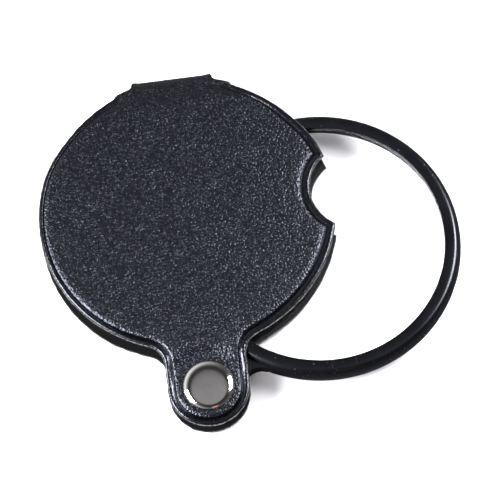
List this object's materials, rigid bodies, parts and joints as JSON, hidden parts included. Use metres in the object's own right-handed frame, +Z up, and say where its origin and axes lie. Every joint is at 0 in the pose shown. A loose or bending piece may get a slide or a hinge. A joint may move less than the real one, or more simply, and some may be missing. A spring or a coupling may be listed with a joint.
{
  "type": "folding pocket hand lens",
  "caption": "Round magnifying lens in a plastic rim that swings on a rivet out of a folded, padded leather case with a thumb notch.",
  "frame": {"origin": "centre of the case's round back face, on the surface that the case lies on", "axes": "+Z up through the case from its back to its front; +Y from the rivet towards the fold; +X towards the thumb notch"},
  "size_m": [0.1009, 0.0916, 0.01],
  "materials": {
    "leather": "fine pebble grain, satin",
    "foam": "matt, light grey at the cut edge",
    "board": "matt card",
    "lining": "smooth, matt",
    "chrome": "polished",
    "frame_plastic": "fine satin",
    "lens": "polished, clear"
  },
  "bodies": {
    "case": {"leather_cover": "leather", "foam_core": "foam", "front_board": "board", "back_board": "board", "case_lining": "lining", "rivet_front_cap": "chrome", "rivet_tube": "chrome", "rivet_post": "chrome", "rivet_back_cap": "chrome"},
    "lens": {"lens_frame": "frame_plastic", "lens_glass": "lens", "lens_retaining_ring": "frame_plastic"}
  },
  "joints": [
    {"name": "lens_swing", "type": "hinge", "parent": "case", "child": "lens", "pos_m": [0, -0.045, 0.005], "axis": [0, 0, 1], "continuous": true}
  ]
}
